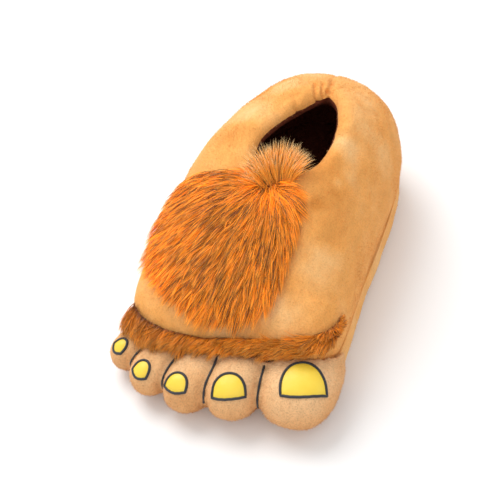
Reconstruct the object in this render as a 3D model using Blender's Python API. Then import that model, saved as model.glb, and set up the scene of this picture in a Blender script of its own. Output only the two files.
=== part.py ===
"""Furry foot-shaped slipper for the right foot, stuffed plush on a padded sole.

The toes point to -Y, the big toe is on the +X side, and the slipper stands on the plane z = 0.
Plan tables give "along" as a share of BODY_LENGTH from the back of the heel, and "across" as a
share of BALL_WIDTH from the middle line, positive towards the big toe.
"""

import math

import bmesh
import bpy
import numpy as np
from mathutils import Vector

# Sizes of the last and its sole, in metres
BODY_LENGTH = 0.268  # back of the heel to the front of the toe box, without the toes
BALL_WIDTH = 0.166
OUTSOLE_THICKNESS = 0.003
OUTSOLE_INSET = 0.006
BAND_HEIGHT = 0.030  # top of the plush sole band above the floor
BAND_SWELL = 0.002
INSTEP_RISE = 0.105  # highest point of the upper above the sole band
DOME_POWER = 2.5  # 2 is an ellipse, more is boxier
SIDE_BULGE = 0.004
WALL = 0.012
COLLAR_WALL = 0.017
INSOLE_THICKNESS = 0.008
INSOLE_EDGE = 0.002

# Sizes of what is sewn on
COLLAR_LENGTH = 0.104  # the opening, along the slipper
COLLAR_WIDTH = 0.052
COLLAR_BACK = 0.064  # back of the heel to the back corner of the opening
TOE_LENGTH = 0.044  # half sizes of the longest, widest and highest toe
TOE_WIDTH = 0.027
TOE_TOP = 0.050  # top of the big toe above the floor
TOE_LIFT = 0.0015
TOE_POWER = 2.5
NAIL_THICKNESS = 0.0010
NAIL_BOW = 0.003  # how far the middle of a nail's front edge bows forward
FUR_BACKING = 0.003
PATCH_LENGTH = 0.078
PATCH_WIDTH = 0.092
PATCH_LOCK = 0.030  # length of a lock of the instep fur
PATCH_LOW = 0.063  # no lock of the instep fur hangs lower than this above the floor
LOCK_WIDTH = 0.010
BAND_WIDTH = 0.012  # of the strip of fur over the toes' seam
BAND_LOCK = 0.016  # how far its locks stand out over the toes
BAND_COMB = (0.010, -0.008)  # how far round they lean, at the big toe and at the little toe

GAP = 0.0003  # between pieces that are sewn together

OUTLINE = (  # seam between upper and sole band, round from the heel by way of the big toe
    ("along", "across"),
    (0.000, 0.00),
    (0.028, 0.20),
    (0.110, 0.335),
    (0.250, 0.405),
    (0.450, 0.435),
    (0.650, 0.450),
    (0.820, 0.475),
    (0.930, 0.475),
    (0.990, 0.405),
    (1.012, 0.25),
    (1.032, 0.05),
    (1.050, -0.13),
    (1.052, -0.28),
    (1.022, -0.41),
    (0.945, -0.49),
    (0.810, -0.515),
    (0.650, -0.510),
    (0.450, -0.490),
    (0.250, -0.425),
    (0.110, -0.325),
    (0.028, -0.19),
)

RISE = (  # crest of the closed form above the sole band, as a share of INSTEP_RISE
    ("along", "rise"),
    (0.00, 1.02),
    (0.15, 0.98),
    (0.35, 0.98),
    (0.50, 1.00),
    (0.62, 0.93),
    (0.75, 0.78),
    (0.88, 0.63),
    (1.06, 0.52),
)

OPENING = (  # shares of COLLAR_LENGTH from its back corner, and of COLLAR_WIDTH
    ("along", "across"),
    (0.00, 0.14),
    (0.10, 0.36),
    (0.26, 0.52),
    (0.45, 0.61),
    (0.62, 0.64),
    (0.78, 0.59),
    (0.90, 0.46),
    (0.97, 0.28),
    (1.00, 0.04),
    (0.98, -0.20),
    (0.90, -0.37),
    (0.76, -0.42),
    (0.62, -0.37),
    (0.44, -0.24),
    (0.24, -0.06),
)

TOES = (  # where each tip is in plan, its turn outwards in degrees and its share of the half sizes
    ("name", "along", "across", "turn", "length", "width", "height"),
    ("big", 1.148, 0.385, -8, 1.00, 1.14, 1.00),
    ("second", 1.183, 0.080, 6, 1.00, 0.88, 0.95),
    ("third", 1.200, -0.130, 14, 1.00, 0.79, 0.89),
    ("fourth", 1.175, -0.330, 24, 0.92, 0.71, 0.82),
    ("little", 1.110, -0.495, 38, 0.82, 0.62, 0.74),
)

NAILS = (  # shares of the toe's own half sizes; turn is in degrees
    ("name", "edge", "length", "half_width", "aside", "turn"),
    ("big", 0.66, 0.52, 0.54, 0.28, -17),
    ("second", 0.80, 0.33, 0.52, 0.22, -26),
    ("third", 0.85, 0.24, 0.41, -0.02, -9),
    ("fourth", 0.86, 0.23, 0.35, 0.06, -5),
    ("little", 0.84, 0.23, 0.33, 0.04, 0),
)

PATCH_OUTLINE = (  # shares of PATCH_LENGTH forward from its rear edge, and of PATCH_WIDTH
    ("along", "across"),
    (0.00, 0.04),
    (0.05, 0.20),
    (0.25, 0.29),
    (0.55, 0.30),
    (0.82, 0.22),
    (0.97, 0.04),
    (1.00, -0.20),
    (0.94, -0.44),
    (0.76, -0.62),
    (0.48, -0.68),
    (0.22, -0.58),
    (0.06, -0.30),
)
PATCH_BACK = 0.170  # back of the heel to the rear edge of the fur's backing
WHORL = (0.10, 0.10)  # along and across where the hairs part

BAND_ENDS = (51, 119)  # degrees clockwise from +X, seen from above: from the big to the little toe
BAND_RADIUS = 0.14  # roughly how far the band is from the middle of the last
BAND_EDGE = (  # lower edge of the band's backing, as a share of TOE_TOP, at degrees round as above
    ("round", "height"),
    (51, 1.00),
    (76, 1.00),
    (90, 0.965),
    (100, 0.91),
    (110, 0.84),
    (119, 0.78),
)

RING_POINTS = 60
PATCH_POINTS = 28
BAND_POINTS = 23
LOCK_TURNS = 2 * math.pi * np.arange(4) / 4
TOE_RINGS = 14
TOE_SEGMENTS = 24
NAIL_ARC_POINTS = 11
OUTER_STEPS = 10
ROLL_STEPS = 5
INNER_STEPS = 7

HEEL_Y = BODY_LENGTH / 2
PLUSH_TAN = (0.86, 0.52, 0.24)
TOE_PEACH = (0.88, 0.60, 0.36)
FUR_ORANGE = (0.58, 0.24, 0.05)
NAIL_YELLOW = (0.93, 0.74, 0.15)
LINING_BROWN = (0.07, 0.03, 0.02)
SOLE_CLOTH = (0.25, 0.17, 0.11)


def clear_scene():
    for old in list(bpy.data.objects):
        bpy.data.objects.remove(old, do_unlink=True)


def rows_of(table):
    """The table's rows as dictionaries with its first row's names."""
    names = table[0]
    return [dict(zip(names, row)) for row in table[1:]]


def matte(name, colour, roughness):
    material = bpy.data.materials.new(name)
    material.use_nodes = True
    shader = material.node_tree.nodes["Principled BSDF"]
    shader.inputs["Base Color"].default_value = (*colour, 1.0)
    shader.inputs["Roughness"].default_value = roughness
    shader.inputs["Metallic"].default_value = 0.0
    return material


def even_points(dense, count, closed):
    """Points spaced evenly along a polyline."""
    line = np.vstack([dense, dense[:1]]) if closed else dense
    steps = np.linalg.norm(np.diff(line, axis=0), axis=1)
    length = np.concatenate([[0.0], np.cumsum(steps)])
    places = np.linspace(0.0, length[-1], count, endpoint=not closed)
    return np.column_stack([np.interp(places, length, line[:, k]) for k in range(line.shape[1])])


def spline(points, closed, steps=24):
    """A smooth Catmull-Rom curve through the points, as a dense polyline."""
    points = np.asarray(points, float)
    if not closed:
        first = 2 * points[0] - points[1]
        last = 2 * points[-1] - points[-2]
        points = np.vstack([first, points, last])
    t = np.linspace(0.0, 1.0, steps, endpoint=False)[:, None]
    spans = []
    for i in range(len(points) if closed else len(points) - 3):
        a, b, c, d = (points[(i + k) % len(points)] for k in range(4))
        spans.append(
            0.5 * (2 * b + (c - a) * t + (2 * a - 5 * b + 4 * c - d) * t**2 + (3 * b - a - 3 * c + d) * t**3)
        )
    dense = np.vstack(spans)
    return np.roll(dense, steps, axis=0) if closed else np.vstack([dense, points[-2]])


def plan(along, across):
    """A plan point, in metres, from shares of BODY_LENGTH and BALL_WIDTH."""
    return (across * BALL_WIDTH, HEEL_Y - along * BODY_LENGTH)


SEAM_LINE = spline([plan(row["along"], row["across"]) for row in rows_of(OUTLINE)], closed=True)
RISE_LINE = spline([(row["along"], row["rise"]) for row in rows_of(RISE)], closed=False)


def outline_ring(count=RING_POINTS, inset=0.0):
    """The seam line in plan, moved inwards by inset, starting at the back of the heel."""
    ring = even_points(SEAM_LINE, count, closed=True)
    forward = np.roll(ring, -1, axis=0) - np.roll(ring, 1, axis=0)
    inward = np.column_stack([-forward[:, 1], forward[:, 0]])
    inward /= np.linalg.norm(inward, axis=1, keepdims=True)
    # The ring runs clockwise seen from above when the first steps go to +X from the heel
    turn = 1.0 if np.sum(np.cross(ring, np.roll(ring, -1, axis=0))) > 0 else -1.0
    return ring + inward * turn * inset


def reach_at(angle):
    """Distance from the middle of the last to the seam line in that direction."""
    angles = np.arctan2(SEAM_LINE[:, 1], SEAM_LINE[:, 0])
    order = np.argsort(angles)
    radii = np.linalg.norm(SEAM_LINE, axis=1)
    return np.interp(angle, angles[order], radii[order], period=2 * math.pi)


def over_last(spots):
    """Points on the upper's closed outer form above plan points."""
    spots = np.asarray(spots, float)
    distance = np.maximum(np.linalg.norm(spots, axis=1), 1e-9)
    share = np.clip(distance / reach_at(np.arctan2(spots[:, 1], spots[:, 0])), 0.0, 1.0)
    height = (1.0 - share**DOME_POWER) ** (1.0 / DOME_POWER)
    along = (HEEL_Y - spots[:, 1]) / BODY_LENGTH
    rise = INSTEP_RISE * np.interp(along, RISE_LINE[:, 0], RISE_LINE[:, 1])
    bulge = SIDE_BULGE * np.sin(math.pi * height) * (1.0 - height)
    level = spots * (1.0 + (bulge / distance))[:, None]
    return np.column_stack([level, BAND_HEIGHT + GAP + rise * height])


def last_normals(spots):
    """Outward directions of that form above plan points."""
    step = 0.0002
    spots = np.asarray(spots, float) * 0.9985
    side = over_last(spots + (step, 0.0)) - over_last(spots - (step, 0.0))
    front = over_last(spots + (0.0, step)) - over_last(spots - (0.0, step))
    normals = np.cross(side, front)
    return normals / np.linalg.norm(normals, axis=1, keepdims=True)


def lifted(spots, lift):
    """Points that stand off that form by lift, one length or one for each point."""
    return over_last(spots) + last_normals(spots) * np.broadcast_to(lift, len(spots))[:, None]


def finish_object(name, mesh_builder, material, collection):
    """Makes the object from a bmesh, with its faces turned outwards and its round sides smooth."""
    bmesh.ops.recalc_face_normals(mesh_builder, faces=mesh_builder.faces)
    mesh = bpy.data.meshes.new(name)
    mesh_builder.to_mesh(mesh)
    mesh_builder.free()
    mesh.shade_smooth()
    mesh.set_sharp_from_angle(angle=math.radians(50))
    mesh.materials.append(material)
    made = bpy.data.objects.new(name, mesh)
    collection.objects.link(made)
    return made


def loft(rings, ring_loop=False):
    """A bmesh skinned over closed rings of equal length, with flat ends or joined into a loop."""
    skin = bmesh.new()
    loops = [[skin.verts.new(point) for point in ring] for ring in rings]
    pairs = list(zip(loops, loops[1:]))
    if ring_loop:
        pairs.append((loops[-1], loops[0]))
    for lower, upper in pairs:
        count = len(lower)
        for k in range(count):
            m = (k + 1) % count
            skin.faces.new((lower[k], lower[m], upper[m], upper[k]))
    if not ring_loop:
        skin.faces.new(loops[0])
        skin.faces.new(loops[-1])
    return skin


def level_ring(height, inset):
    return np.column_stack([outline_ring(inset=inset), np.full(RING_POINTS, height)])


def make_outsole(material, collection):
    """Flat non-slip cloth sole."""
    edge = OUTSOLE_THICKNESS / 3
    rings = [
        level_ring(0.0, OUTSOLE_INSET + edge),
        level_ring(edge, OUTSOLE_INSET),
        level_ring(OUTSOLE_THICKNESS, OUTSOLE_INSET),
    ]
    return finish_object("outsole", loft(rings), material, collection)


def make_midsole(material, collection):
    """Foam sole inside its plush side band, rounded under and drawn in at the seam."""
    low = OUTSOLE_THICKNESS + GAP
    tall = BAND_HEIGHT - low
    profile = (
        (0.00, OUTSOLE_INSET),
        (0.08, 0.4 * OUTSOLE_INSET),
        (0.24, 0.0),
        (0.50, -BAND_SWELL),
        (0.76, -0.6 * BAND_SWELL),
        (0.93, 0.3 * BAND_SWELL),
        (1.00, BAND_SWELL),
    )
    rings = [level_ring(low + tall * share, inset) for share, inset in profile]
    return finish_object("midsole", loft(rings), material, collection)


def make_insole(material, collection):
    """Padded footbed inside the upper."""
    low = BAND_HEIGHT + GAP
    inset = WALL + GAP
    rings = [
        level_ring(low, inset),
        level_ring(low + INSOLE_THICKNESS - INSOLE_EDGE, inset),
        level_ring(low + INSOLE_THICKNESS, inset + INSOLE_EDGE),
    ]
    return finish_object("insole", loft(rings), material, collection)


def opening_line(count=RING_POINTS):
    """Edge of the collar in plan, from its back corner round by the big toe's side."""
    back = HEEL_Y - COLLAR_BACK
    points = [(row["across"] * COLLAR_WIDTH, back - row["along"] * COLLAR_LENGTH) for row in rows_of(OPENING)]
    return even_points(spline(points + points[:1], closed=False), count + 1, closed=False)[:-1]


def meridian(start, finish):
    """Plan points up the outside of the upper, closer together near the sole."""
    dense = start + (finish - start) * (np.linspace(0.0, 1.0, 240) ** 3)[:, None]
    steps = np.linalg.norm(np.diff(over_last(dense), axis=0), axis=1)
    length = np.concatenate([[0.0], np.cumsum(steps)])
    places = length[-1] * np.linspace(0.0, 1.0, OUTER_STEPS) ** 1.25
    return np.column_stack([np.interp(places, length, dense[:, k]) for k in range(2)])


def outer_lines():
    """Those points for every meridian, with the edge of the opening that each one leads to."""
    edge = opening_line()
    forward = np.roll(edge, -1, axis=0) - np.roll(edge, 1, axis=0)
    outward = np.column_stack([forward[:, 1], -forward[:, 0]])
    outward /= np.linalg.norm(outward, axis=1, keepdims=True)
    outward *= np.sign(np.sum(outward * (edge - edge.mean(axis=0)), axis=1))[:, None]
    crest = edge + outward * COLLAR_WALL / 2
    return [meridian(start, finish) for start, finish in zip(outline_ring(), crest)], edge


def wall_section(spots, edge, inner_foot):
    """One section of the upper's wall: up outside, over the collar's roll and down inside."""
    outer = over_last(spots)
    normals = last_normals(spots)
    roll = COLLAR_WALL / 2
    middle = outer[-1] - normals[-1] * roll
    inward = np.append(edge - spots[-1], 0.0)
    inward -= normals[-1] * np.dot(inward, normals[-1])
    inward /= np.linalg.norm(inward)
    turns = np.linspace(0.0, math.pi, ROLL_STEPS + 2)[1:-1]
    over = [middle + roll * (math.cos(t) * normals[-1] + math.sin(t) * inward) for t in turns]
    length = np.concatenate([[0.0], np.cumsum(np.linalg.norm(np.diff(outer, axis=0), axis=1))])
    inner = []
    for share in np.linspace(1.0, 0.0, INNER_STEPS) ** 1.4:
        wall = WALL + (COLLAR_WALL - WALL) * max(0.0, share - 0.6) / 0.4
        place = share * length[-1]
        point = np.array([np.interp(place, length, outer[:, k]) for k in range(3)])
        normal = np.array([np.interp(place, length, normals[:, k]) for k in range(3)])
        inner.append(point - normal / np.linalg.norm(normal) * wall)
    inner[-1] = np.append(inner_foot, outer[0][2])
    return list(outer) + over + inner


def make_upper(material, collection):
    """Stuffed plush upper: one hollow wall, open at the collar and underneath."""
    lines, edge = outer_lines()
    inner_foot = outline_ring(inset=WALL)
    walls = [wall_section(lines[k], edge[k], inner_foot[k]) for k in range(RING_POINTS)]
    return finish_object("upper", loft(list(map(list, zip(*walls))), ring_loop=True), material, collection)


def boolean(target, tool, operation, inner_cuts=False):
    step = target.modifiers.new(tool.name, "BOOLEAN")
    step.operation = operation
    step.solver = "EXACT"
    step.use_self = inner_cuts
    step.object = tool


def hide_tool(tool):
    tool.hide_render = True
    tool.display_type = "WIRE"


def make_body_form(material, collection):
    """The outside of sole band and upper as one closed form, grown by GAP, to cut the toes with."""
    widest = -BAND_SWELL - GAP
    rings = [level_ring(-0.010, widest), level_ring((BAND_HEIGHT + OUTSOLE_THICKNESS) / 2, widest)]
    rings += [level_ring(BAND_HEIGHT * 0.85, 0.7 * widest), level_ring(BAND_HEIGHT, 0.0)]
    lines, _ = outer_lines()
    rings += [lifted(np.array([line[k] for line in lines]), GAP) for k in range(OUTER_STEPS)]
    form = finish_object("body_form", loft(rings), material, collection)
    hide_tool(form)
    return form


def toe_frame(toe):
    """Middle, half sizes and turn of one toe, in metres and radians."""
    tip = plan(toe["along"], toe["across"])
    turn = math.radians(toe["turn"])
    length = TOE_LENGTH * toe["length"]
    height = (TOE_TOP * toe["height"] - TOE_LIFT) / 2
    forward = np.array([-math.sin(turn), -math.cos(turn), 0.0])
    sideways = np.array([math.cos(turn), -math.sin(turn), 0.0])
    middle = np.array([*tip, TOE_LIFT + height]) - forward * length
    return middle, forward, sideways, (length, TOE_WIDTH * toe["width"], height)


def toe_point(toe, ahead, aside, lift=0.0):
    """A point on top of a toe, from shares of its half length and half width."""
    middle, forward, sideways, (length, width, height) = toe_frame(toe)
    up = max(0.0, 1.0 - abs(ahead) ** TOE_POWER - abs(aside) ** TOE_POWER) ** (1.0 / TOE_POWER)
    slope = TOE_POWER - 1.0
    normal = forward * math.copysign(abs(ahead) ** slope, ahead) / length
    normal = normal + sideways * math.copysign(abs(aside) ** slope, aside) / width
    normal = normal + np.array([0.0, 0.0, up**slope / height])
    normal /= np.linalg.norm(normal)
    point = middle + forward * ahead * length + sideways * aside * width
    return point + np.array([0.0, 0.0, up * height]) + normal * lift


def make_toe(toe, material, collection):
    """One toe's lobe, a ball pushed out towards a rounded box."""
    middle, forward, sideways, (length, width, height) = toe_frame(toe)
    ball = bmesh.new()
    bmesh.ops.create_uvsphere(ball, u_segments=TOE_SEGMENTS, v_segments=TOE_RINGS, radius=1.0)
    for vert in ball.verts:
        x, y, z = vert.co
        reach = (abs(x) ** TOE_POWER + abs(y) ** TOE_POWER + abs(z) ** TOE_POWER) ** (-1.0 / TOE_POWER)
        spot = middle + reach * (sideways * x * width + forward * y * length)
        vert.co = Vector(spot + np.array([0.0, 0.0, reach * z * height]))
    return finish_object(f"toe_lobe_{toe['name']}", ball, material, collection)


def make_toes(form, material, collection, cutters):
    """The stuffed front panel: five lobes in one, cut to lie against sole and upper."""
    lobes = [make_toe(toe, material, cutters) for toe in rows_of(TOES)]
    for lobe in lobes[1:]:
        hide_tool(lobe)
        boolean(lobes[0], lobe, "UNION")
    boolean(lobes[0], form, "DIFFERENCE", inner_cuts=True)
    lobes[0].name = "toe_piece"
    cutters.objects.unlink(lobes[0])
    collection.objects.link(lobes[0])
    return lobes[0]


def plate(outline, place, low, high, shares):
    """A thin plate over a curved face: rings of the outline shrunk to its middle, below and above."""
    outline = np.asarray(outline)
    middle = outline.mean(axis=0)
    rings = [place(middle + (outline - middle) * share, low) for share in reversed(shares)]
    rings += [place(middle + (outline - middle) * share, high) for share in shares]
    return loft(rings)


def make_nail(nail, material, collection):
    """A cloth nail, round behind and nearly straight in front."""
    toe = {row["name"]: row for row in rows_of(TOES)}[nail["name"]]
    turn = math.radians(nail["turn"])
    length, width, _ = toe_frame(toe)[3]
    arc = [math.pi * k / NAIL_ARC_POINTS for k in range(NAIL_ARC_POINTS + 1)]
    curve = [(-nail["length"] * math.sin(t) ** 0.85, math.cos(t)) for t in arc]
    curve += [(NAIL_BOW / length * (1.0 - side**2), side) for side in (-0.6, -0.2, 0.2, 0.6)]
    outline = []
    for back, side in curve:
        ahead = back * length
        aside = side * nail["half_width"] * width
        ahead, aside = (
            ahead * math.cos(turn) + aside * math.sin(turn),
            aside * math.cos(turn) - ahead * math.sin(turn),
        )
        outline.append((nail["edge"] + ahead / length, nail["aside"] + aside / width))

    def place(spots, lift):
        return [toe_point(toe, spot[0], spot[1], lift) for spot in spots]

    skin = plate(outline, place, 2 * GAP, 2 * GAP + NAIL_THICKNESS, (1.0, 0.76, 0.46, 0.12))
    return finish_object(f"nail_{nail['name']}", skin, material, collection)


def taper(count, radius):
    return radius * (1.0 - 0.93 * np.linspace(0.0, 1.0, count) ** 1.4)


def lying_lock(spots, lifts, radius, place):
    """Rings of a tapering lock that lies along a curved face, kept clear of that face."""
    rings = []
    last = len(spots) - 1
    for k, size in enumerate(taper(len(spots), radius)):
        forward = spots[min(k + 1, last)] - spots[max(k - 1, 0)]
        side = np.array([forward[1], -forward[0]]) / np.linalg.norm(forward)
        around = spots[k] + np.outer(size * np.cos(LOCK_TURNS), side)
        rings.append(place(around, np.maximum(lifts[k] + 0.6 * size * np.sin(LOCK_TURNS), FUR_BACKING / 2)))
    return rings


def standing_lock(spots, lifts, radius, place):
    """Rings of a tapering lock that stands out from a curved face."""
    turned = np.column_stack([np.cos(LOCK_TURNS), 0.7 * np.sin(LOCK_TURNS)])
    return [place(spots[k] + size * turned, lifts[k]) for k, size in enumerate(taper(len(spots), radius))]


def fuse_locks(pad, strands, material, cutters):
    """Fuses the locks onto their backing."""
    joined = bmesh.new()
    for rings in strands:
        loops = [[joined.verts.new(point) for point in ring] for ring in rings]
        for lower, upper in zip(loops, loops[1:]):
            for k in range(len(lower)):
                m = (k + 1) % len(lower)
                joined.faces.new((lower[k], lower[m], upper[m], upper[k]))
        joined.faces.new(loops[0])
        joined.faces.new(loops[-1])
    locks = finish_object(f"{pad.name}_locks", joined, material, cutters)
    hide_tool(locks)
    boolean(pad, locks, "UNION", inner_cuts=True)


def run_over(spot, away, length, steps=4):
    """Plan points along a lock that lies on the form, as long as it stays above PATCH_LOW."""
    points = [np.asarray(spot, float)]
    stride = 0.001
    travelled = 0.0
    here = over_last(points)[0]
    while travelled < length:
        ahead = points[-1] + away * stride
        there = over_last([ahead])[0]
        if there[2] < PATCH_LOW:
            break
        travelled += np.linalg.norm(there - here)
        here = there
        points.append(ahead)
    places = np.linspace(0, len(points) - 1, steps + 1).round().astype(int)
    return np.array(points)[places]


def patch_line(count):
    back = HEEL_Y - PATCH_BACK
    rows = rows_of(PATCH_OUTLINE)
    points = [(row["across"] * PATCH_WIDTH, back - row["along"] * PATCH_LENGTH) for row in rows]
    return even_points(spline(points, closed=True), count, closed=True)


def make_patch(material, collection, cutters):
    """Long fur on the instep: a backing, with locks that fan out from where the hairs part."""
    outline = patch_line(PATCH_POINTS)

    skin = plate(outline, lifted, 2 * GAP, 2 * GAP + FUR_BACKING, (1.0, 0.8, 0.6, 0.4, 0.2, 0.05))
    pad = finish_object("fur_patch", skin, material, collection)
    whorl = np.array([WHORL[1] * PATCH_WIDTH, HEEL_Y - PATCH_BACK - WHORL[0] * PATCH_LENGTH])
    strands = []
    for share, count in ((0.96, 20), (0.66, 13), (0.34, 6)):
        ring = even_points(spline(outline, closed=True), count, closed=True)
        for k, spot in enumerate(ring):
            root = whorl + (spot - whorl) * share
            away = spot - whorl
            away = away / np.linalg.norm(away) + (-0.15, -0.35)
            away /= np.linalg.norm(away)
            length = PATCH_LOCK * (0.85 + 0.25 * math.sin(2.4 * k + 9 * share))
            spots = run_over(root, away, length)
            lifts = FUR_BACKING * 0.6 + LOCK_WIDTH * 0.7 * np.linspace(0.0, 1.0, len(spots)) ** 0.8
            if np.linalg.norm(spots[-1] - spots[0]) > LOCK_WIDTH / 2:
                strands.append(lying_lock(spots, lifts, LOCK_WIDTH / 2, lifted))
    fuse_locks(pad, strands, material, cutters)
    return pad


def on_band(spots, lift):
    """Points over the form, from the way round in metres from +X and the height above the sole band."""
    angles = -spots[:, 0] / BAND_RADIUS
    reach = reach_at(angles)
    ring = np.column_stack([np.cos(angles), np.sin(angles)]) * reach[:, None]
    along = (HEEL_Y - ring[:, 1]) / BODY_LENGTH
    rise = INSTEP_RISE * np.interp(along, RISE_LINE[:, 0], RISE_LINE[:, 1])
    share = np.clip(spots[:, 1] / rise, 0.0, 1.0)
    return lifted(ring * ((1.0 - share**DOME_POWER) ** (1.0 / DOME_POWER))[:, None], lift)


def make_band(material, collection, cutters):
    """The strip of fur over the seam between body and toes."""
    degrees = np.linspace(*BAND_ENDS, BAND_POINTS)
    round_about = np.radians(degrees) * BAND_RADIUS
    edge = rows_of(BAND_EDGE)
    shares = np.interp(degrees, [row["round"] for row in edge], [row["height"] for row in edge])
    lows = TOE_TOP * shares + GAP - BAND_HEIGHT
    walls = []
    for way, bottom in zip(round_about, lows):
        low, middle, high = ((way, bottom + BAND_WIDTH * share) for share in (0.0, 0.5, 1.0))
        spots = np.array([low, middle, high, high, middle, low])
        lifts = np.array([2 * GAP] * 3 + [2 * GAP + FUR_BACKING] * 3)
        walls.append(on_band(spots, lifts))
    pad = finish_object("fur_band", loft(walls), material, collection)
    strands = []
    for k, (way, bottom) in enumerate(zip(round_about[1:-1], lows[1:-1])):
        sweep = np.interp(k, (0, BAND_POINTS), BAND_COMB)
        drop = (0.1 + 0.1 * math.sin(2.1 * k)) * BAND_WIDTH
        steps = np.linspace(0.0, 1.0, 5)
        root = np.array([way, bottom + BAND_WIDTH - LOCK_WIDTH * 0.3])
        spots = root + np.outer(steps, (sweep, -drop))
        lifts = FUR_BACKING * 0.6 + BAND_LOCK * (0.8 + 0.2 * math.sin(1.3 * k)) * steps**1.2
        strands.append(standing_lock(spots, lifts, LOCK_WIDTH * 0.4, on_band))
    fuse_locks(pad, strands, material, cutters)
    return pad


def measure(parts):
    """Corners of the box round the parts as they render."""
    graph = bpy.context.evaluated_depsgraph_get()
    corners = []
    for item in parts:
        mesh = item.evaluated_get(graph).to_mesh()
        spots = np.array([vert.co for vert in mesh.vertices])
        corners += [spots.min(axis=0), spots.max(axis=0)]
        item.evaluated_get(graph).to_mesh_clear()
    return np.min(corners, axis=0), np.max(corners, axis=0)


def build():
    clear_scene()
    slipper = bpy.data.collections.new("furry_slipper")
    cutters = bpy.data.collections.new("cutters")
    bpy.context.scene.collection.children.link(slipper)
    bpy.context.scene.collection.children.link(cutters)
    tan = matte("tan_plush", PLUSH_TAN, 0.9)
    peach = matte("peach_plush", TOE_PEACH, 0.9)
    cloth = matte("sole_cloth", SOLE_CLOTH, 0.85)
    brown = matte("brown_fleece", LINING_BROWN, 0.95)
    orange = matte("orange_fur", FUR_ORANGE, 0.9)
    yellow = matte("yellow_satin", NAIL_YELLOW, 0.5)
    parts = [
        make_outsole(cloth, slipper),
        make_midsole(tan, slipper),
        make_insole(brown, slipper),
        make_upper(tan, slipper),
        make_toes(make_body_form(tan, cutters), peach, slipper, cutters),
        make_patch(orange, slipper, cutters),
        make_band(orange, slipper, cutters),
    ]
    parts += [make_nail(nail, yellow, slipper) for nail in rows_of(NAILS)]
    low, high = measure(parts)
    middle = bpy.data.objects.new("slipper", None)
    slipper.objects.link(middle)
    middle.location = (-(low[0] + high[0]) / 2, -(low[1] + high[1]) / 2, 0.0)
    for item in slipper.objects[:] + cutters.objects[:]:
        if item != middle:
            item.parent = middle


build()
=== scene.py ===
"""Looks of the furry foot-shaped slipper for the right foot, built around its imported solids.

Metres, toes to -Y, big toe to +X, floor at z = 0. The last's own plan has its middle at MIDDLE in
the shared frame; plan tables are in millimetres from that middle.
"""

import math

import bmesh
import bpy
import numpy as np
from mathutils import Matrix, Vector, noise
from mathutils.bvhtree import BVHTree


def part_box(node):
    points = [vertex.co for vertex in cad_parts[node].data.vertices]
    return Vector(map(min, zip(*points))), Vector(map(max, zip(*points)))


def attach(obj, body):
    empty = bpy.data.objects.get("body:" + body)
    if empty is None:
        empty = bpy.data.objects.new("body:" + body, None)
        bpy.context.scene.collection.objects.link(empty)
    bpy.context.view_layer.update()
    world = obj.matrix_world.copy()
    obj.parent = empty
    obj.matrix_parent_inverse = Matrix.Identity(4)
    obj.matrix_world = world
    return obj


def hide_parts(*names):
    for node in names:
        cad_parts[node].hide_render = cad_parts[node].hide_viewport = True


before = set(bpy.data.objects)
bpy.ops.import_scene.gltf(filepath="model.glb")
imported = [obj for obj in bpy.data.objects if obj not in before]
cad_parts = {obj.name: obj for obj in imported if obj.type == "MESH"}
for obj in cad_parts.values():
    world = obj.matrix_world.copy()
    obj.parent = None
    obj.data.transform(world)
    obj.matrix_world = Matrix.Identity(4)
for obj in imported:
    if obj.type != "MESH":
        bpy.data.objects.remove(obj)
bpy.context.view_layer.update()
MM = 0.001

# Sizes of the last, as its solids have them
BODY_LENGTH = 0.268
BALL_WIDTH = 0.166
OUTSOLE_INSET = 0.006
BAND_HEIGHT = 0.030
INSTEP_RISE = 0.105
DOME_POWER = 2.5
SIDE_BULGE = 0.004
GAP = 0.0003
TOE_LENGTH = 0.044
TOE_WIDTH = 0.027
TOE_TOP = 0.050
TOE_LIFT = 0.0015
TOE_POWER = 2.5
HEEL_Y = BODY_LENGTH / 2
BAND_RADIUS = 0.14

# Sizes of the finish
COLLAR_LOW = 0.118  # above this a crease is placed by its plan alone, so that it runs over the collar's roll
LINING_DEPTH = 0.0088  # the fleece starts this deep inside the upper, half way over the roll of the collar
SEAM_FILL = 0.0022
FOOTBED_SPREAD = 0.003
TOE_VOXEL, TOE_PRESSURE, TOE_SWELL = 0.0030, 4.0, 0.0016  # remesh, cloth pressure, farthest a point moves
CLOTH_FRAMES = 20
GROOVE_DEPTH = 0.0030  # of the stitched grooves between the toes
GROOVE_WIDTH = 0.0045
NAIL_BOW = 0.003
NAIL_CROWN = 0.0011
BORDER = 0.00105  # half the width of the black borders and toe lines
FLOW_STEPS = 5  # points down each hair
UPPER_PILE, SIDE_PILE, TOE_PILE = 70000, 16000, 32000  # tufts
INSTEP_HAIRS, EDGE_HAIRS, INSTEP_LOCKS = 24000, 4200, 900
TUFT_HAIRS, TUFT_LOCKS = 3200, 60
BAND_HAIRS, BAND_LOCKS = 14000, 170
RESTS_BELOW = 0.004  # the toes' underside
TOUCHES_WITHIN = 0.0055  # of the seam line, where the toes lie against body and sole
DOT_PITCH = 0.0075
DOT_RADIUS = 0.0013
DOT_HEIGHT = 0.0006
PILE = 0.00026  # width of a tuft of the short pile
HAIR = 0.00034  # a fibre is nearer 0.1 mm; this is the finest that shows

OUTLINE = (  # seam between upper and sole band, round from the heel by way of the big toe
    ("along", "across"),
    (0.000, 0.00), (0.028, 0.20), (0.110, 0.335), (0.250, 0.405), (0.450, 0.435), (0.650, 0.450),
    (0.820, 0.475), (0.930, 0.475), (0.990, 0.405), (1.012, 0.25), (1.032, 0.05), (1.050, -0.13),
    (1.052, -0.28), (1.022, -0.41), (0.945, -0.49), (0.810, -0.515), (0.650, -0.510), (0.450, -0.490),
    (0.250, -0.425), (0.110, -0.325), (0.028, -0.19),
)

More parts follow.
